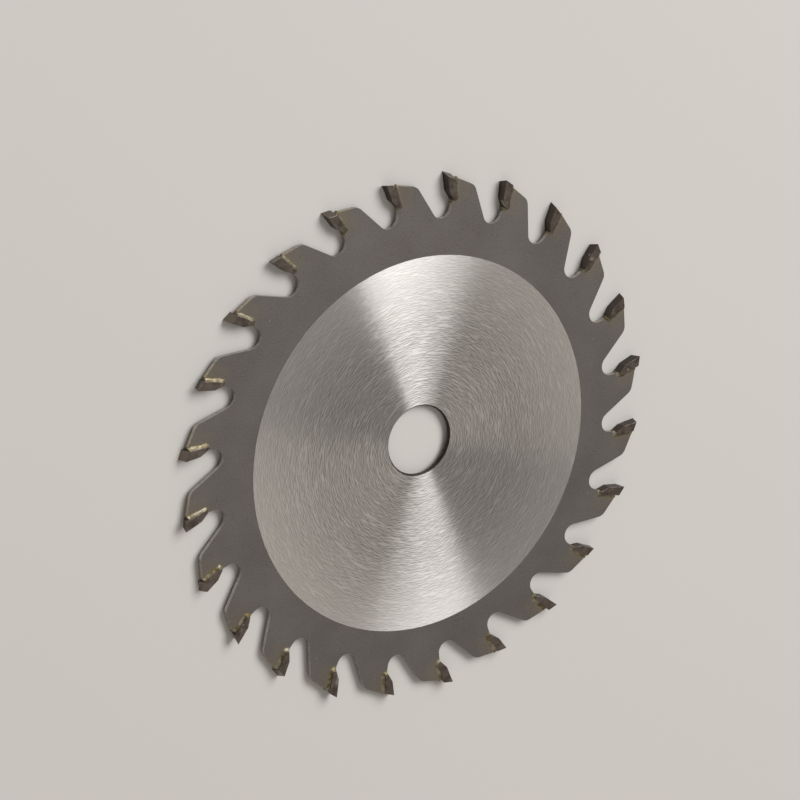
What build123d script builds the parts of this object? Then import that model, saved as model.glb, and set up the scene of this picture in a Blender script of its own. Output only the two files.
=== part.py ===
from build123d import *
import math
import os

# A small carbide-tipped circular saw blade, in millimetres and degrees.
# The arbor axis is Z and the origin is at the middle of the bore, halfway through the plate.
# Tooth 1 has its cutting edge on +Y, and the teeth are numbered clockwise as seen from +Z.
# Seen from +Z the blade cuts counterclockwise, so each tip leads its tooth on the counterclockwise side.

# Blade
cutting_diameter = 76.2
tooth_count = 24
kerf = 1.6
hub_thickness = 0.65
rim_thickness = 0.61
hub_radius = 27.3
hub_centre = (0.52, -0.77)
bore_diameter = 10.0
bore_chamfer = 0.2

# Gullets and tooth bodies, in the frame of a tooth whose cutting edge is on +Y
gullet_depth = 6.43
gullet_radius = 1.54
gullet_lag = -0.15
shoulder_drop = 0.22
shoulder_length = 3.76
shoulder_slope = 19.6
shoulder_radius = 1.5

# Carbide tips, seen from the side
hook_angle = 13.0
rake_face_length = 2.66
toe_angle = 36.0
toe_face_length = 1.48
heel_angle = 21.0
heel_length = 0.48
heel_radius = 0.15
crown_length = 1.43

# Angles that are ground on the tips after brazing
top_clearance = 15.0
top_bevel = 15.0
side_clearance = 1.5
back_clearance = 1.0

# Braze
braze_gap = 0.1
braze_fillet_width = 0.45
braze_fillet_height = 0.3
braze_cup_depth = 0.47
braze_cup_width = 0.55
braze_cup_sag = 0.05
seat_relief = 0.25

outer_radius = cutting_diameter / 2
tooth_angle = 360 / tooth_count

# Corners of a tip, from its cutting edge down the front, along the heel and up to its crown
cutting_edge = Vector(0, outer_radius)
brow = cutting_edge + Vector(0, -rake_face_length).rotate(Axis.Z, hook_angle)
toe = brow + Vector(0, -toe_face_length).rotate(Axis.Z, toe_angle)
heel = toe + Vector(heel_length, 0).rotate(Axis.Z, heel_angle)
crown = cutting_edge + Vector(crown_length, -crown_length * math.tan(math.radians(top_clearance)))

# Corners of a tooth's steel body, and the middle of the gullet in front of it
along_shoulder = Vector(1, 0).rotate(Axis.Z, -shoulder_slope)
shoulder_start = crown + Vector(0, -shoulder_drop)
shoulder_end = shoulder_start + along_shoulder * shoulder_length
gullet_centre = Vector(gullet_lag, outer_radius - gullet_depth + gullet_radius)
clear_radius = outer_radius + kerf

# The cup behind a tip's crown, which the braze fills part of the way
down_back = (heel - crown).normalized()
cup_rim = shoulder_start + along_shoulder * braze_cup_width
cup_foot = crown + down_back * braze_cup_depth
cup_floor = cup_foot + down_back * seat_relief


def above(point):
    """The point outside the tip circle that lies straight out from a point of a tooth."""
    return point.normalized() * clear_radius


def ahead(point):
    """The same point on the tooth ahead of this one, one step counterclockwise."""
    return point.rotate(Axis.Z, tooth_angle)


# Side view of one tip blank: rake face, toe face, rounded heel, back and crown
with BuildSketch() as tip_profile:
    with BuildLine():
        Polyline(cutting_edge, brow, toe, heel, crown, close=True)
    make_face()
    fillet(tip_profile.vertices().sort_by_distance(heel)[0], heel_radius)

# The seat that is cut for a tip: its side view, larger all round by the braze gap
with BuildSketch() as seat:
    add(tip_profile.sketch)
    offset(amount=braze_gap, kind=Kind.INTERSECTION)

# The gap between two teeth: down the nose under the tip, round the gullet, up the back of the
# tooth ahead, over its shoulder and down into the cup behind its tip
with BuildSketch() as opening:
    with BuildLine():
        gullet = CenterArc(gullet_centre, gullet_radius, 0, 360, mode=Mode.PRIVATE)
        nose = ConstrainedLines(gullet, toe, selector=lambda lines: lines.sort_by(Axis.X)[-1])
        back = ConstrainedLines(
            gullet, ahead(shoulder_end), selector=lambda lines: lines.sort_by(Axis.X)[0]
        )
        ThreePointArc(back @ 0, gullet_centre + Vector(0, -gullet_radius), nose @ 0)
        Polyline(
            back @ 1,
            ahead(cup_rim),
            ahead(cup_floor),
            ahead(crown),
            ahead(above(crown)),
            above(crown),
            crown,
            toe,
        )
    make_face()
    fillet(opening.vertices().sort_by_distance(ahead(shoulder_end))[0], shoulder_radius)

# Plate: one laser-cut disc of hardened steel. Its hub is brushed on a turntable that sat slightly
# off the arbor's centre, and it stands a hair above the blasted rim.
with BuildPart() as plate:
    with BuildSketch() as outline:
        Circle(outer_radius)
        with PolarLocations(0, tooth_count):
            add(opening.sketch, mode=Mode.SUBTRACT)
            add(seat.sketch, mode=Mode.SUBTRACT)
    extrude(amount=rim_thickness / 2, both=True)
    with BuildSketch() as hub:
        with Locations(hub_centre):
            Circle(hub_radius)
    extrude(amount=hub_thickness / 2, both=True)
    Hole(bore_diameter / 2)
    bore_wall = plate.faces().filter_by(GeomType.CYLINDER).sort_by_distance((0, 0, 0))[0]
    chamfer(bore_wall.edges().filter_by(GeomType.CIRCLE), bore_chamfer)


def top_plane(high_side):
    """The top of a tip, sloping away from the cutting edge and down from its high side."""
    slope = math.tan(math.radians(top_clearance))
    tilt = math.tan(math.radians(top_bevel))
    return Plane((0, outer_radius, high_side * kerf / 2), z_dir=(slope, 1, -high_side * tilt))


def flank_plane(side):
    """A flank of a tip, which narrows towards the arbor and towards the tip's back."""
    inward = math.tan(math.radians(side_clearance))
    backward = math.tan(math.radians(back_clearance))
    return Plane((0, outer_radius, side * kerf / 2), z_dir=(backward, -inward, side))


def make_tip(high_side):
    """Tooth 1's carbide tip: a pressed blank, ground on both flanks and then on top."""
    with BuildPart() as tip:
        with BuildSketch():
            add(tip_profile.sketch)
        extrude(amount=kerf / 2, both=True)
        for side in (1, -1):
            split(bisect_by=flank_plane(side), keep=Keep.BOTTOM)
        split(bisect_by=top_plane(high_side), keep=Keep.BOTTOM)
    return tip.part


def make_braze():
    """Tooth 1's braze: a thin layer in the seat, with a sloping fillet on each face of the plate."""
    past_toe = toe + (toe - heel).normalized() * braze_fillet_width
    with BuildPart() as braze:
        with BuildLine() as path:
            FilletPolyline(crown, heel, past_toe, radius=heel_radius)
        with BuildSketch(Plane(crown, x_dir=(0, 0, 1), z_dir=heel - crown)):
            with BuildLine():
                for side in (1, -1):
                    face = side * rim_thickness / 2
                    edge = face + side * braze_fillet_height
                    Line((0, 0), (edge, 0))
                    Polyline(
                        (edge, 0), (face, -braze_fillet_width), (face, -braze_gap), (0, -braze_gap)
                    )
            make_face()
        sweep(path=path.line)
        # Trimmed flush with the tooth's nose, and to a hollow cup between the crown and the shoulder
        with BuildSketch():
            with BuildLine():
                SagittaArc(cup_rim, cup_foot, braze_cup_sag)
                Polyline(
                    cup_foot,
                    toe,
                    nose @ 0,
                    gullet_centre,
                    above(gullet_centre),
                    above(shoulder_end),
                    shoulder_end,
                    cup_rim,
                )
            make_face()
        extrude(amount=kerf, both=True, mode=Mode.SUBTRACT)
    return braze.part


def at_tooth(piece, number):
    """A copy of one of tooth 1's pieces, turned clockwise to another tooth."""
    with BuildPart(Plane.XY.rotated((0, 0, -tooth_angle * (number - 1)))) as copy:
        add(piece)
    return copy.part


def write(piece, name):
    """Label a finished piece and write it to its own file."""
    piece.label = name
    export_step(piece, f"parts/{name}.step")


# The high corner of the top alternates between the lower face and the upper one
low_sided_tip = make_tip(high_side=-1)
high_sided_tip = make_tip(high_side=1)
braze = make_braze()

os.makedirs("parts", exist_ok=True)
write(plate.part, "plate")
for number in range(1, tooth_count + 1):
    tip = low_sided_tip if number % 2 else high_sided_tip
    write(at_tooth(tip, number), f"tip_{number:02d}")
    write(at_tooth(braze, number), f"braze_{number:02d}")
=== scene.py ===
import math

import bmesh
import bpy
from mathutils import Matrix, Vector


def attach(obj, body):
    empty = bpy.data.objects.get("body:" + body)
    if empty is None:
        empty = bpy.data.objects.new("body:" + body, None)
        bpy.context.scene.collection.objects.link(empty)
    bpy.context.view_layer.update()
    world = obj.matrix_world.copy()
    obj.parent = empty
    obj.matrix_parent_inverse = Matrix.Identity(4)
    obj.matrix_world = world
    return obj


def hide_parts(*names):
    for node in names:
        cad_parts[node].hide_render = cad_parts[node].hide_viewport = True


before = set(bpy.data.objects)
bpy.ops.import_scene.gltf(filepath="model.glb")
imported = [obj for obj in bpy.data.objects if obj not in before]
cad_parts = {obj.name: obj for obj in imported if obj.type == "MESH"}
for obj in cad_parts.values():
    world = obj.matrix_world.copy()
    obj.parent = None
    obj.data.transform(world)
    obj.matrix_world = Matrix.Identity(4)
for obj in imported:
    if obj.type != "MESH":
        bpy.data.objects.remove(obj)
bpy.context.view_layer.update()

# Steel plate.
# One disc of hardened saw steel, laser-cut with its gullets, tip seats and bore. Its rim is blasted
# dark and matte after brazing, and its hub is then brushed bright on a turntable, off centre.

MM = 0.001
tooth_count = 24
hub_centre = Vector((0.52, -0.77)) * MM
rim_face_height = 0.305 * MM
hub_step = 0.02 * MM
bore_mouth = 5.25 * MM
weld_distance = 0.001 * MM
level_over = 0.99
smooth_under = math.radians(35)


def linear(hex_colour):
    """The linear colour of an sRGB hex value."""
    parts = [int(hex_colour[i:i + 2], 16) / 255 for i in (0, 2, 4)]
    return [p / 12.92 if p <= 0.04045 else ((p + 0.055) / 1.055) ** 2.4 for p in parts] + [1]


def add_node(tree, kind, links=None, **settings):
    """Add a node, set what it holds, and join or set its inputs."""
    new = tree.nodes.new(kind)
    for name, value in settings.items():
        setattr(new, name, value)
    for socket, value in (links or {}).items():
        if isinstance(value, bpy.types.NodeSocket):
            tree.links.new(value, new.inputs[socket])
        else:
            new.inputs[socket].default_value = value
    return new


def start_material(name):
    """A new material with an empty node tree, its output node and its object coordinates."""
    material = bpy.data.materials.new(name)
    material.use_nodes = True
    tree = material.node_tree
    tree.nodes.clear()
    output = add_node(tree, "ShaderNodeOutputMaterial")
    place = add_node(tree, "ShaderNodeTexCoord")
    return material, tree, output, place


def brushed_steel():
    """Bright steel with fine concentric brushing: it draws each lamp out into a fan across the hub."""
    # The real grooves are too fine to show, so their pitch is drawn coarser
    stroke_length = 0.9 * MM
    groove_pitch = 0.12 * MM
    groove_depth = 0.0035 * MM
    scratch_stretch = (0.3, 0.3, 0.6)
    sway_share = 0.025
    worn_from = 16 * MM
    worn_to = 27 * MM
    material, tree, output, place = start_material("saw_steel_brushed_on_a_turntable")
    centred = add_node(tree, "ShaderNodeVectorMath", {
        0: place.outputs["Object"], 1: (hub_centre.x, hub_centre.y, 0)}, operation="SUBTRACT")
    flat = add_node(tree, "ShaderNodeVectorMath", {
        0: centred.outputs[0], 1: (1, 1, 0)}, operation="MULTIPLY")
    outward = add_node(tree, "ShaderNodeVectorMath", {0: flat.outputs[0]}, operation="NORMALIZE")
    along = add_node(tree, "ShaderNodeVectorMath", {
        0: (0, 0, 1), 1: outward.outputs[0]}, operation="CROSS_PRODUCT")
    radius = add_node(tree, "ShaderNodeVectorMath", {0: flat.outputs[0]}, operation="LENGTH")
    # Noise that changes once a stroke in the direction of turning, and once a groove across it
    rings = add_node(tree, "ShaderNodeMath", {
        0: radius.outputs["Value"], 1: 1 / groove_pitch}, operation="MULTIPLY")
    lift = add_node(tree, "ShaderNodeCombineXYZ", {"Z": rings.outputs[0]})
    stroke_place = add_node(tree, "ShaderNodeVectorMath", {
        0: flat.outputs[0], 1: [1 / stroke_length] * 3, 2: lift.outputs[0]}, operation="MULTIPLY_ADD")
    grooves = add_node(tree, "ShaderNodeTexNoise", {
        "Vector": stroke_place.outputs[0], "Scale": 1.0, "Detail": 0.0})
    # Taking off the noise one groove further in leaves only the fine lines, and no wide bands
    further_in = add_node(tree, "ShaderNodeVectorMath", {
        0: stroke_place.outputs[0], 1: (0, 0, 1)}, operation="SUBTRACT")
    beside = add_node(tree, "ShaderNodeTexNoise", {
        "Vector": further_in.outputs[0], "Scale": 1.0, "Detail": 0.0})
    brushing = add_node(tree, "ShaderNodeMath", {
        0: grooves.outputs["Fac"], 1: beside.outputs["Fac"]}, operation="SUBTRACT")
    # A few deeper scratches run on for several strokes
    scratch_place = add_node(tree, "ShaderNodeVectorMath", {
        0: stroke_place.outputs[0], 1: scratch_stretch}, operation="MULTIPLY")
    scratches = add_node(tree, "ShaderNodeTexNoise", {
        "Vector": scratch_place.outputs[0], "Scale": 1.0, "Detail": 0.0})
    scratch = add_node(tree, "ShaderNodeMapRange", {
        "Value": scratches.outputs["Fac"], "From Min": 0.66, "From Max": 0.72, "To Max": 0.5})
    marked = add_node(tree, "ShaderNodeMath", {
        0: brushing.outputs[0], 1: scratch.outputs[0]}, operation="ADD")
    shade = add_node(tree, "ShaderNodeMapRange", {
        "Value": marked.outputs[0], "From Min": -0.25, "From Max": 0.25})
    # A mix of colours takes its two colours at inputs 6 and 7, and gives the blend at output 2
    colour = add_node(tree, "ShaderNodeMix", {
        0: shade.outputs[0], 6: linear("A6A29E"), 7: linear("E0DDD9")}, data_type="RGBA")
    # The pad wore the hub brighter towards its rim
    worn = add_node(tree, "ShaderNodeMapRange", {
        "Value": radius.outputs["Value"], "From Min": worn_from, "From Max": worn_to, "To Max": 0.5})
    brightened = add_node(tree, "ShaderNodeMix", {
        0: worn.outputs[0], 6: colour.outputs[2], 7: linear("F2EFEB")}, data_type="RGBA")
    # Strokes that aren't quite round turn the streak of each lamp a little
    sway = add_node(tree, "ShaderNodeMapRange", {
        "Value": grooves.outputs["Fac"], "From Min": 0.3, "From Max": 0.7,
        "To Min": -sway_share, "To Max": sway_share})
    aside = add_node(tree, "ShaderNodeVectorMath", {
        0: along.outputs[0], "Scale": sway.outputs[0]}, operation="SCALE")
    tangent = add_node(tree, "ShaderNodeVectorMath", {
        0: outward.outputs[0], 1: aside.outputs[0]}, operation="ADD")
    bump = add_node(tree, "ShaderNodeBump", {
        "Height": brushing.outputs[0], "Strength": 0.5, "Distance": groove_depth})
    steel = add_node(tree, "ShaderNodeBsdfPrincipled", {
        "Base Color": brightened.outputs[2], "Metallic": 1.0, "Roughness": 0.275, "Anisotropic": 1.0,
        "Tangent": tangent.outputs[0], "Normal": bump.outputs[0]})
    tree.links.new(steel.outputs[0], output.inputs["Surface"])
    return material


def heat_mark(tree, place):
    """How strongly the brazing heat marked the steel: most at a tip's back, gone 2.5 mm behind it."""
    # The mark fades in two bands, given as shares of the way to the next tooth. The noise that makes
    # them ragged also brings them nearer to the tip, on average by half of ragged_share.
    ragged_size = 0.9 * MM
    ragged_share = 0.12
    first_fade = (0.26, 0.36)
    first_strength = 0.65
    second_fade = (0.46, 0.51)
    second_strength = 0.35
    root_fade = (33.6 * MM, 34.6 * MM)
    parts = add_node(tree, "ShaderNodeSeparateXYZ", {0: place.outputs["Object"]})
    clockwise = add_node(tree, "ShaderNodeMath", {
        0: parts.outputs[0], 1: parts.outputs[1]}, operation="ARCTAN2")
    pitches = add_node(tree, "ShaderNodeMath", {
        0: clockwise.outputs[0], 1: tooth_count / math.tau}, operation="MULTIPLY")
    share = add_node(tree, "ShaderNodeMath", {0: pitches.outputs[0]}, operation="FRACT")
    flat = add_node(tree, "ShaderNodeVectorMath", {
        0: place.outputs["Object"], 1: (1, 1, 0)}, operation="MULTIPLY")
    radius = add_node(tree, "ShaderNodeVectorMath", {0: flat.outputs[0]}, operation="LENGTH")
    cloud = add_node(tree, "ShaderNodeTexNoise", {
        "Vector": place.outputs["Object"], "Scale": 1 / ragged_size, "Detail": 2.0})
    ragged = add_node(tree, "ShaderNodeMath", {
        0: cloud.outputs["Fac"], 1: ragged_share, 2: share.outputs[0]}, operation="MULTIPLY_ADD")
    first = add_node(tree, "ShaderNodeMapRange", {
        "Value": ragged.outputs[0], "From Min": first_fade[0], "From Max": first_fade[1],
        "To Min": first_strength, "To Max": 0.0})
    second = add_node(tree, "ShaderNodeMapRange", {
        "Value": ragged.outputs[0], "From Min": second_fade[0], "From Max": second_fade[1],
        "To Min": second_strength, "To Max": 0.0})
    behind = add_node(tree, "ShaderNodeMath", {0: first.outputs[0], 1: second.outputs[0]}, operation="ADD")
    above_root = add_node(tree, "ShaderNodeMapRange", {
        "Value": radius.outputs["Value"], "From Min": root_fade[0], "From Max": root_fade[1]})
    mark = add_node(tree, "ShaderNodeMath", {
        0: behind.outputs[0], 1: above_root.outputs[0]}, operation="MULTIPLY")
    return mark.outputs[0]


def blasted_steel():
    """Steel blasted with fine grit: dark, matte and even, with a few dark pits and bright nicks, and a
    straw tint by the brazes."""
    # The real grit marks are too fine to show, so they are drawn coarser
    grit_size = 0.16 * MM
    grit_depth = 0.012 * MM
    cloud_size = 8.0 * MM
    pit_spacing = 1.1 * MM
    nick_spacing = 3.1 * MM
    tint_strength = 0.45
    material, tree, output, place = start_material("saw_steel_blasted")
    grit = add_node(tree, "ShaderNodeTexNoise", {
        "Vector": place.outputs["Object"], "Scale": 1 / grit_size, "Detail": 2.0})
    cloud = add_node(tree, "ShaderNodeTexNoise", {
        "Vector": place.outputs["Object"], "Scale": 1 / cloud_size, "Detail": 3.0})
    tone = add_node(tree, "ShaderNodeMath", {
        0: cloud.outputs["Fac"], 1: 0.5, 2: grit.outputs["Fac"]}, operation="MULTIPLY_ADD")
    shade = add_node(tree, "ShaderNodeMapRange", {
        "Value": tone.outputs[0], "From Min": 0.5, "From Max": 1.0})
    colour = add_node(tree, "ShaderNodeMix", {
        0: shade.outputs[0], 6: linear("67625F"), 7: linear("817C78")}, data_type="RGBA")
    heat = add_node(tree, "ShaderNodeMath", {
        0: heat_mark(tree, place), 1: tint_strength}, operation="MULTIPLY")
    tinted = add_node(tree, "ShaderNodeMix", {
        0: heat.outputs[0], 6: colour.outputs[2], 7: linear("8C7F60")}, data_type="RGBA")
    # A pit or a nick is a small spot in the middle of a cell, darker or brighter than the steel
    pits = add_node(tree, "ShaderNodeTexVoronoi", {
        "Vector": place.outputs["Object"], "Scale": 1 / pit_spacing})
    pit = add_node(tree, "ShaderNodeMapRange", {
        "Value": pits.outputs["Distance"], "From Min": 0.05, "From Max": 0.09, "To Min": 0.45, "To Max": 1.0})
    nicks = add_node(tree, "ShaderNodeTexVoronoi", {
        "Vector": place.outputs["Object"], "Scale": 1 / nick_spacing})
    nick = add_node(tree, "ShaderNodeMapRange", {
        "Value": nicks.outputs["Distance"], "From Min": 0.02, "From Max": 0.04, "To Min": 1.7, "To Max": 1.0})
    spots = add_node(tree, "ShaderNodeMath", {0: pit.outputs[0], 1: nick.outputs[0]}, operation="MULTIPLY")
    spotted = add_node(tree, "ShaderNodeVectorMath", {
        0: tinted.outputs[2], "Scale": spots.outputs[0]}, operation="SCALE")
    bump = add_node(tree, "ShaderNodeBump", {
        "Height": grit.outputs["Fac"], "Strength": 0.4, "Distance": grit_depth})
    steel = add_node(tree, "ShaderNodeBsdfPrincipled", {
        "Base Color": spotted.outputs[0], "Metallic": 1.0, "Roughness": 0.54, "Normal": bump.outputs[0]})
    tree.links.new(steel.outputs[0], output.inputs["Surface"])
    return material


def laser_cut_steel():
    """A laser-cut edge: bright, with fine striations across its thickness and a straw tint by the brazes."""
    # The real striations are too fine to show, so they are drawn coarser
    striation_pitch = 0.14 * MM
    ripple_pitch = 0.6 * MM
    cut_depth = 0.02 * MM
    tint_strength = 0.75
    material, tree, output, place = start_material("saw_steel_laser_cut")
    # Squeezing the height draws the noise out into lines across the edge
    stretched = add_node(tree, "ShaderNodeVectorMath", {
        0: place.outputs["Object"], 1: (1, 1, 0.08)}, operation="MULTIPLY")
    lines = add_node(tree, "ShaderNodeTexNoise", {
        "Vector": stretched.outputs[0], "Scale": 1 / striation_pitch, "Detail": 2.0})
    ripples = add_node(tree, "ShaderNodeTexNoise", {
        "Vector": stretched.outputs[0], "Scale": 1 / ripple_pitch, "Detail": 1.0})
    relief = add_node(tree, "ShaderNodeMath", {
        0: ripples.outputs["Fac"], 1: 0.8, 2: lines.outputs["Fac"]}, operation="MULTIPLY_ADD")
    shade = add_node(tree, "ShaderNodeMapRange", {
        "Value": relief.outputs[0], "From Min": 0.55, "From Max": 1.25})
    colour = add_node(tree, "ShaderNodeMix", {
        0: shade.outputs[0], 6: linear("96918A"), 7: linear("C6C2BC")}, data_type="RGBA")
    heat = add_node(tree, "ShaderNodeMath", {
        0: heat_mark(tree, place), 1: tint_strength}, operation="MULTIPLY")
    tinted = add_node(tree, "ShaderNodeMix", {
        0: heat.outputs[0], 6: colour.outputs[2], 7: linear("BBAA82")}, data_type="RGBA")
    bump = add_node(tree, "ShaderNodeBump", {
        "Height": relief.outputs[0], "Strength": 0.6, "Distance": cut_depth})
    steel = add_node(tree, "ShaderNodeBsdfPrincipled", {
        "Base Color": tinted.outputs[2], "Metallic": 1.0, "Roughness": 0.42, "Normal": bump.outputs[0]})
    tree.links.new(steel.outputs[0], output.inputs["Surface"])
    return material


def bore_painted_shade_steel():
    """The bore's wall: a dark finish that is painted shade, standing for the shaded surroundings that the
    wall reflects. It draws a dark line round the hole.
    """
    mottle_size = 0.3 * MM
    mottle_depth = 0.01 * MM
    material, tree, output, place = start_material("saw_steel_bore_painted_shade")
    mottle = add_node(tree, "ShaderNodeTexNoise", {
        "Vector": place.outputs["Object"], "Scale": 1 / mottle_size, "Detail": 3.0})
    # These dark colours are painted shade for what the bore's wall reflects, mottled a little by noise
    colour = add_node(tree, "ShaderNodeMix", {
        0: mottle.outputs["Fac"], 6: linear("2A2523"), 7: linear("4A433E")}, data_type="RGBA")
    bump = add_node(tree, "ShaderNodeBump", {
        "Height": mottle.outputs["Fac"], "Strength": 0.5, "Distance": mottle_depth})
    steel = add_node(tree, "ShaderNodeBsdfPrincipled", {
        "Base Color": colour.outputs[2], "Metallic": 1.0, "Roughness": 0.5, "Normal": bump.outputs[0]})
    tree.links.new(steel.outputs[0], output.inputs["Surface"])
    return material


plate_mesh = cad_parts["plate"].data.copy()
plate = bpy.data.objects.new("saw_plate", plate_mesh)
bpy.context.scene.collection.objects.link(plate)
plate_mesh.materials.clear()
finishes = {"hub": brushed_steel(), "rim": blasted_steel(), "edge": laser_cut_steel(), "bore": bore_painted_shade_steel()}
for finish in finishes.values():
    plate_mesh.materials.append(finish)
finish_order = list(finishes)
shape = bmesh.new()
shape.from_mesh(plate_mesh)
bmesh.ops.remove_doubles(shape, verts=shape.verts, dist=weld_distance)
for face in shape.faces:
    middle = face.calc_center_median()
    level = abs(face.normal.z) > level_over
    if level:
        zone = "hub" if abs(middle.z) > rim_face_height + hub_step / 2 else "rim"
    else:
        zone = "bore" if middle.xy.length < bore_mouth else "edge"
    face.material_index = finish_order.index(zone)
    face.smooth = not level
for edge in shape.edges:
    edge.smooth = edge.calc_face_angle(0) < smooth_under
shape.to_mesh(plate_mesh)
shape.free()
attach(plate, "root")
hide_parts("plate")

# Carbide tips.
# Each is a pressed and sintered block of cemented carbide. Its flanks and its top are ground with
# a diamond wheel after brazing, and its rake face keeps more of the dark sintered skin.

honed_edge = 0.03 * MM
flat_within = math.radians(2)
sharp_over = math.radians(25)


def ground_carbide():
    """Cemented carbide: brown-grey and finely ground on its flanks and top, dark and ribbed on its
    rake face."""
    # The real wheel marks and ribs are too fine to show, so they are drawn coarser
    wheel_mark = 0.11 * MM
    rib_pitch = 0.2 * MM
    cloud_size = 1.1 * MM
    splash_spacing = 1.8 * MM
    splash_rise = 3.0
    relief_depth = 0.01 * MM
    material, tree, output, place = start_material("cemented_carbide_ground")
    # The rake face looks the way that the blade turns, and the top looks away from its middle
    flat = add_node(tree, "ShaderNodeVectorMath", {
        0: place.outputs["Object"], 1: (1, 1, 0)}, operation="MULTIPLY")
    outward = add_node(tree, "ShaderNodeVectorMath", {0: flat.outputs[0]}, operation="NORMALIZE")
    clockwise = add_node(tree, "ShaderNodeVectorMath", {
        0: outward.outputs[0], 1: (0, 0, 1)}, operation="CROSS_PRODUCT")
    facing_out = add_node(tree, "ShaderNodeVectorMath", {
        0: place.outputs["Normal"], 1: outward.outputs[0]}, operation="DOT_PRODUCT")
    facing_back = add_node(tree, "ShaderNodeVectorMath", {
        0: place.outputs["Normal"], 1: clockwise.outputs[0]}, operation="DOT_PRODUCT")
    front = add_node(tree, "ShaderNodeMapRange", {
        "Value": facing_back.outputs["Value"], "From Min": -0.75, "From Max": -0.65,
        "To Min": 1.0, "To Max": 0.0})
    top = add_node(tree, "ShaderNodeMapRange", {
        "Value": facing_out.outputs["Value"], "From Min": 0.75, "From Max": 0.85})
    marks = add_node(tree, "ShaderNodeTexNoise", {
        "Vector": place.outputs["Object"], "Scale": 1 / wheel_mark, "Detail": 2.0})
    cloud = add_node(tree, "ShaderNodeTexNoise", {
        "Vector": place.outputs["Object"], "Scale": 1 / cloud_size, "Detail": 4.0, "Roughness": 0.65})
    patch = add_node(tree, "ShaderNodeMapRange", {
        "Value": cloud.outputs["Fac"], "From Min": 0.35, "From Max": 0.65})
    flank = add_node(tree, "ShaderNodeMix", {
        0: patch.outputs[0], 6: linear("5B514B"), 7: linear("80766E")}, data_type="RGBA")
    parts = add_node(tree, "ShaderNodeSeparateXYZ", {0: place.outputs["Object"]})
    rib_angle = add_node(tree, "ShaderNodeMath", {
        0: parts.outputs[2], 1: math.tau / rib_pitch}, operation="MULTIPLY")
    ribs = add_node(tree, "ShaderNodeMath", {0: rib_angle.outputs[0]}, operation="SINE")
    rib_shade = add_node(tree, "ShaderNodeMapRange", {
        "Value": ribs.outputs[0], "From Min": -1.0, "From Max": 1.0})
    rake = add_node(tree, "ShaderNodeMix", {
        0: rib_shade.outputs[0], 6: linear("3A332F"), 7: linear("5E554E")}, data_type="RGBA")
    with_rake = add_node(tree, "ShaderNodeMix", {
        0: front.outputs[0], 6: flank.outputs[2], 7: rake.outputs[2]}, data_type="RGBA")
    with_top = add_node(tree, "ShaderNodeMix", {
        0: top.outputs[0], 6: with_rake.outputs[2], 7: linear("766D66")}, data_type="RGBA")
    # Thin splashes of braze that ran over the tip and froze there. Their lighter colour is partly their own
    # and partly a painted highlight for the glints they catch
    splash_and_glint_noise = add_node(tree, "ShaderNodeTexNoise", {
        "Vector": place.outputs["Object"], "Scale": 1 / splash_spacing, "Detail": 3.0})
    splash_and_glint = add_node(tree, "ShaderNodeMapRange", {
        "Value": splash_and_glint_noise.outputs["Fac"], "From Min": 0.66, "From Max": 0.7})
    splashed_and_glinting = add_node(tree, "ShaderNodeMix", {
        0: splash_and_glint.outputs[0], 6: with_top.outputs[2], 7: linear("9E998F")}, data_type="RGBA")
    relief = add_node(tree, "ShaderNodeMath", {
        0: splash_and_glint.outputs[0], 1: splash_rise, 2: marks.outputs["Fac"]}, operation="MULTIPLY_ADD")
    bump = add_node(tree, "ShaderNodeBump", {
        "Height": relief.outputs[0], "Strength": 0.4, "Distance": relief_depth})
    metal = add_node(tree, "ShaderNodeBsdfPrincipled", {
        "Base Color": splashed_and_glinting.outputs[2], "Metallic": 1.0, "Roughness": 0.38, "Normal": bump.outputs[0]})
    tree.links.new(metal.outputs[0], output.inputs["Surface"])
    return material


carbide = ground_carbide()
for number in range(1, tooth_count + 1):
    tip_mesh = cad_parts[f"tip_{number:02d}"].data.copy()
    tip_mesh.materials.clear()
    tip_mesh.materials.append(carbide)
    shape = bmesh.new()
    shape.from_mesh(tip_mesh)
    bmesh.ops.remove_doubles(shape, verts=shape.verts, dist=weld_distance)
    bmesh.ops.dissolve_limit(shape, angle_limit=flat_within, verts=shape.verts, edges=shape.edges)
    sharp = [edge for edge in shape.edges if edge.calc_face_angle(0) > sharp_over]
    bmesh.ops.bevel(shape, geom=sharp, offset=honed_edge, segments=2, profile=0.5, affect="EDGES")
    bmesh.ops.triangulate(shape, faces=shape.faces)
    for face in shape.faces:
        face.smooth = False
    shape.to_mesh(tip_mesh)
    shape.free()
    tip = bpy.data.objects.new(f"carbide_tip_{number:02d}", tip_mesh)
    bpy.context.scene.collection.objects.link(tip)
    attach(tip, "root")
    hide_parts(f"tip_{number:02d}")

# Brazed joints.
# Silver braze drawn into the thin gap of each seat. It stands as a hollow fillet along the tip's
# back and heel on both faces of the plate, with a cup behind the crown and a bead under the toe.

# Corners of tooth 1's tip in the plate's plane, with its cutting edge on +Y
crown = Vector((1.43, 37.717)) * MM
heel = Vector((1.916, 34.483)) * MM
toe = Vector((1.468, 34.311)) * MM
heel_radius = 0.15 * MM

fillet_width = 0.45 * MM
fillet_height = 0.3 * MM
fillet_hollow = 2.2
fillet_steps = 7
sink = 0.03 * MM

# The cup starts this far under the crown, less at its rim, and sags a little between the two
cup_depth = 0.47 * MM
cup_rise = 0.15 * MM
cup_sag = 0.05 * MM

# The joint ends on the tooth's nose, so it gets longer by this share of the distance from the tip
nose_slant = 0.47

bead_radii = (0.17 * MM, 0.24 * MM, 0.40 * MM)
bead_place = (toe.x + 0.02 * MM, toe.y - 0.14 * MM, 0)
joint_stations = 34


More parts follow.
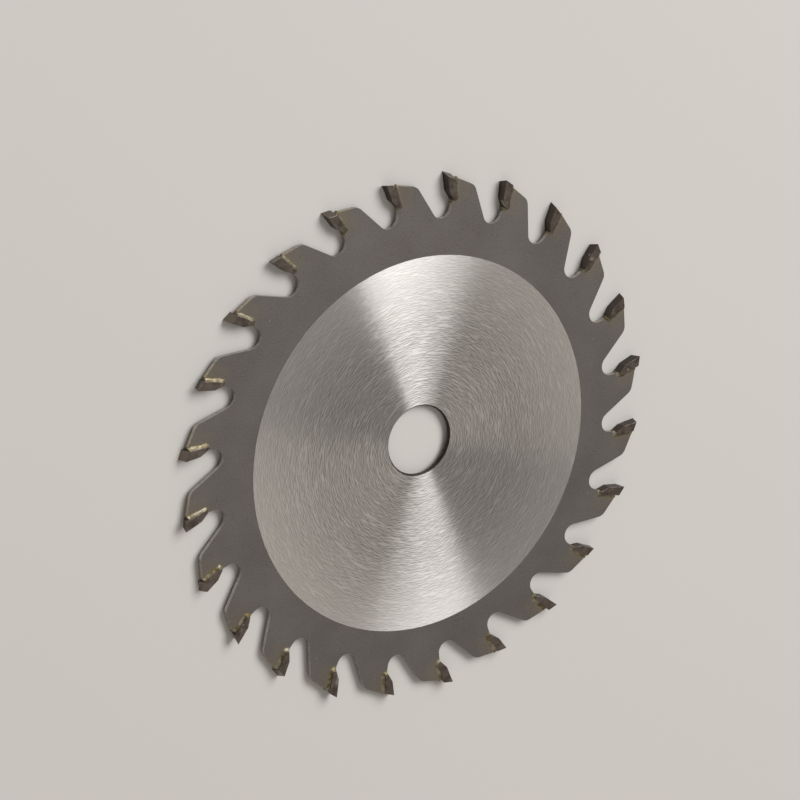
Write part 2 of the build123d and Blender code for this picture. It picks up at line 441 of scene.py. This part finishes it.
def silver_braze():
    """Silver braze as it froze: semi-bright, pale gold, and a little lumpy."""
    lump_size = 0.3 * MM
    lump_depth = 0.06 * MM
    cloud_size = 0.7 * MM
    material, tree, output, place = start_material("silver_braze_as_flowed")
    lumps = add_node(tree, "ShaderNodeTexNoise", {
        "Vector": place.outputs["Object"], "Scale": 1 / lump_size, "Detail": 2.0})
    cloud = add_node(tree, "ShaderNodeTexNoise", {
        "Vector": place.outputs["Object"], "Scale": 1 / cloud_size, "Detail": 2.0})
    shade = add_node(tree, "ShaderNodeMapRange", {
        "Value": cloud.outputs["Fac"], "From Min": 0.35, "From Max": 0.65})
    colour = add_node(tree, "ShaderNodeMix", {
        0: shade.outputs[0], 6: linear("665A38"), 7: linear("958E7F")}, data_type="RGBA")
    bump = add_node(tree, "ShaderNodeBump", {
        "Height": lumps.outputs["Fac"], "Strength": 0.5, "Distance": lump_depth})
    metal = add_node(tree, "ShaderNodeBsdfPrincipled", {
        "Base Color": colour.outputs[2], "Metallic": 1.0, "Roughness": 0.5, "Normal": bump.outputs[0]})
    tree.links.new(metal.outputs[0], output.inputs["Surface"])
    return material


def fillet_section():
    """The joint's section as points of (distance from the tip, height): a hollow fillet on each face."""
    upper = []
    for step in range(fillet_steps + 1):
        across = step / fillet_steps
        rise = fillet_height * (1 - across) ** fillet_hollow
        upper.append((fillet_width * across, rim_face_height + rise))
    # It reaches a little into the tip and into the plate, so that no gap shows
    upper[0] = (-sink, upper[0][1])
    upper.append((fillet_width, rim_face_height - sink))
    return upper + [(across, -height) for across, height in reversed(upper)]


def joint_line(share, across):
    """A point of the joint in the plate's plane: down the tip's back, round its heel and out to its toe."""
    down_back = (heel - crown).normalized()
    along_heel = (toe - heel).normalized()
    behind = Vector((-down_back.y, down_back.x))
    below = Vector((-along_heel.y, along_heel.x))
    turn = behind.angle(below)
    tangent_length = heel_radius * math.tan(turn / 2)
    arc_centre = heel - down_back * tangent_length - behind * heel_radius
    reach = min(1, across / fillet_width)
    start = cup_depth - cup_rise * reach + cup_sag * 4 * reach * (1 - reach)
    back_length = (heel - crown).length - tangent_length - start
    # The bend counts double, so that it gets enough of the stations
    arc_length = turn * heel_radius * 2
    heel_length = (toe - heel).length - tangent_length + nose_slant * across
    travel = share * (back_length + arc_length + heel_length)
    if travel < back_length:
        return crown + down_back * (start + travel) + behind * across
    if travel < back_length + arc_length:
        angle = -turn * (travel - back_length) / arc_length
        return arc_centre + (Matrix.Rotation(angle, 2) @ behind) * (heel_radius + across)
    travel -= back_length + arc_length
    return heel + along_heel * (tangent_length + travel) + below * across


section = fillet_section()
shape = bmesh.new()
rings = []
for station in range(joint_stations + 1):
    ring = []
    for across, height in section:
        point = joint_line(station / joint_stations, across)
        ring.append(shape.verts.new((point.x, point.y, height)))
    rings.append(ring)
for ring, following in zip(rings, rings[1:]):
    for side in range(len(section)):
        after = (side + 1) % len(section)
        shape.faces.new((ring[side], ring[after], following[after], following[side]))
shape.faces.new(rings[0])
shape.faces.new(list(reversed(rings[-1])))
bead = bmesh.ops.create_icosphere(shape, subdivisions=3, radius=1)
bmesh.ops.scale(shape, verts=bead["verts"], vec=bead_radii)
bmesh.ops.translate(shape, verts=bead["verts"], vec=bead_place)
bmesh.ops.recalc_face_normals(shape, faces=shape.faces)
joint_mesh = bpy.data.meshes.new("braze_joint")
shape.to_mesh(joint_mesh)
shape.free()
joints = bpy.data.objects.new("braze_joints_pattern", joint_mesh)
bpy.context.scene.collection.objects.link(joints)

# The pattern turns copies of tooth 1's joint round the rim and gives each its own lumps
pattern = bpy.data.node_groups.new("joints_round_the_rim", "GeometryNodeTree")
pattern.interface.new_socket("Geometry", in_out="INPUT", socket_type="NodeSocketGeometry")
pattern.interface.new_socket("Geometry", in_out="OUTPUT", socket_type="NodeSocketGeometry")
pattern_values = {}
for name, kind, value in (
    ("Teeth", "NodeSocketInt", tooth_count),
    ("Lump height", "NodeSocketFloat", 0.1 * MM),
    ("Lumps per metre", "NodeSocketFloat", 1.5 / MM),
    ("Seed", "NodeSocketFloat", 4.0),
    ("Finish", "NodeSocketMaterial", silver_braze()),
):
    socket = pattern.interface.new_socket(name, in_out="INPUT", socket_type=kind)
    pattern_values[socket.identifier] = value
entry = add_node(pattern, "NodeGroupInput")
result = add_node(pattern, "NodeGroupOutput")
points = add_node(pattern, "GeometryNodePoints", {"Count": entry.outputs["Teeth"]})
index = add_node(pattern, "GeometryNodeInputIndex")
pitch = add_node(pattern, "ShaderNodeMath", {0: -math.tau, 1: entry.outputs["Teeth"]}, operation="DIVIDE")
angle = add_node(pattern, "ShaderNodeMath", {0: index.outputs[0], 1: pitch.outputs[0]}, operation="MULTIPLY")
spin = add_node(pattern, "ShaderNodeCombineXYZ", {"Z": angle.outputs[0]})
copies = add_node(pattern, "GeometryNodeInstanceOnPoints", {
    "Points": points.outputs[0], "Instance": entry.outputs["Geometry"]})
turned = add_node(pattern, "GeometryNodeRotateInstances", {
    "Instances": copies.outputs[0], "Rotation": spin.outputs[0]})
real = add_node(pattern, "GeometryNodeRealizeInstances", {"Geometry": turned.outputs[0]})
lumps = add_node(pattern, "ShaderNodeTexNoise", {
    "W": entry.outputs["Seed"], "Scale": entry.outputs["Lumps per metre"], "Detail": 1.0},
    noise_dimensions="4D")
centred = add_node(pattern, "ShaderNodeMath", {0: lumps.outputs[0], 1: 0.5}, operation="SUBTRACT")
height = add_node(pattern, "ShaderNodeMath", {
    0: centred.outputs[0], 1: entry.outputs["Lump height"]}, operation="MULTIPLY")
normal = add_node(pattern, "GeometryNodeInputNormal")
push = add_node(pattern, "ShaderNodeVectorMath", {
    0: normal.outputs[0], "Scale": height.outputs[0]}, operation="SCALE")
lumpy = add_node(pattern, "GeometryNodeSetPosition", {
    "Geometry": real.outputs[0], "Offset": push.outputs[0]})
smooth = add_node(pattern, "GeometryNodeSetShadeSmooth", {"Geometry": lumpy.outputs[0]})
finished = add_node(pattern, "GeometryNodeSetMaterial", {
    "Geometry": smooth.outputs[0], "Material": entry.outputs["Finish"]})
pattern.links.new(finished.outputs[0], result.inputs[0])
modifier = joints.modifiers.new("joints_round_the_rim", "NODES")
modifier.node_group = pattern
for identifier, value in pattern_values.items():
    modifier[identifier] = value
braze_mesh = bpy.data.meshes.new_from_object(joints.evaluated_get(bpy.context.evaluated_depsgraph_get()))
bpy.data.objects.remove(joints)
braze = bpy.data.objects.new("braze_joints", braze_mesh)
bpy.context.scene.collection.objects.link(braze)
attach(braze, "root")
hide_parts(*[f"braze_{number:02d}" for number in range(1, tooth_count + 1)])

# Floor, light and camera.
# The blade lies on a plain pale floor. A large white lamp draws the bright fans across the hub, and a
# broader, weaker and warmer one lights the other side. The camera looks down through a long lens.

floor_height = -0.8 * MM
floor_half = 3.0
floor_mesh = bpy.data.meshes.new("floor")
corners = [(x * floor_half, y * floor_half, floor_height) for x, y in ((-1, -1), (1, -1), (1, 1), (-1, 1))]
floor_mesh.from_pydata(corners, [], [(0, 1, 2, 3)])
floor = bpy.data.objects.new("floor", floor_mesh)
bpy.context.scene.collection.objects.link(floor)
board, tree, output, place = start_material("pale_matte_board")
paint = add_node(tree, "ShaderNodeBsdfPrincipled", {"Base Color": linear("C4C1BD"), "Roughness": 0.8})
tree.links.new(paint.outputs[0], output.inputs["Surface"])
floor_mesh.materials.append(board)

world = bpy.data.worlds.new("studio")
bpy.context.scene.world = world
world.use_nodes = True
world.node_tree.nodes["Background"].inputs["Color"].default_value = linear("D0CBC6")
world.node_tree.nodes["Background"].inputs["Strength"].default_value = 0.51


def add_lamp(name, form, direction, distance, long_side, size, power, colour):
    """A soft lamp that faces the blade, with its long side along the given direction."""
    towards = Vector(direction).normalized()
    lamp = bpy.data.objects.new(name, bpy.data.lights.new(name, "AREA"))
    lamp.data.shape = form
    lamp.data.size, lamp.data.size_y = size
    lamp.data.energy = power
    lamp.data.color = linear(colour)[:3]
    across = (Vector(long_side) - towards * Vector(long_side).dot(towards)).normalized()
    turned = Matrix((across, towards.cross(across), towards)).transposed()
    lamp.matrix_world = Matrix.Translation(towards * distance) @ turned.to_4x4()
    bpy.context.scene.collection.objects.link(lamp)


add_lamp("long_lamp", form="RECTANGLE", direction=(0.377, 0.583, 0.719), distance=1.24,
         long_side=(-0.284, 0.959, 0.0), size=(0.98, 0.69), power=16.2, colour="FFFFFF")
add_lamp("broad_lamp", form="ELLIPSE", direction=(-0.12, -0.76, 0.64), distance=1.5,
         long_side=(1, 0, 0), size=(2.6, 2.6), power=6.0, colour="FFF7EE")

camera_place = Vector((-277.011, 139.376, 392.733)) * MM
camera_right = Vector((0.832007, 0.096266, 0.54635))
camera_up = Vector((0.070564, 0.958467, -0.276338))
focal_pixels = 3600
picture_width = 800
sensor_width = 36
camera = bpy.data.objects.new("camera", bpy.data.cameras.new("camera"))
camera.data.sensor_width = sensor_width
camera.data.lens = sensor_width * focal_pixels / picture_width
camera.data.clip_start = 0.01
camera.data.clip_end = 20
turned = Matrix((camera_right, camera_up, camera_right.cross(camera_up))).transposed()
camera.matrix_world = Matrix.Translation(camera_place) @ turned.to_4x4()
bpy.context.scene.collection.objects.link(camera)
bpy.context.scene.camera = camera
bpy.context.scene.view_settings.view_transform = "Standard"
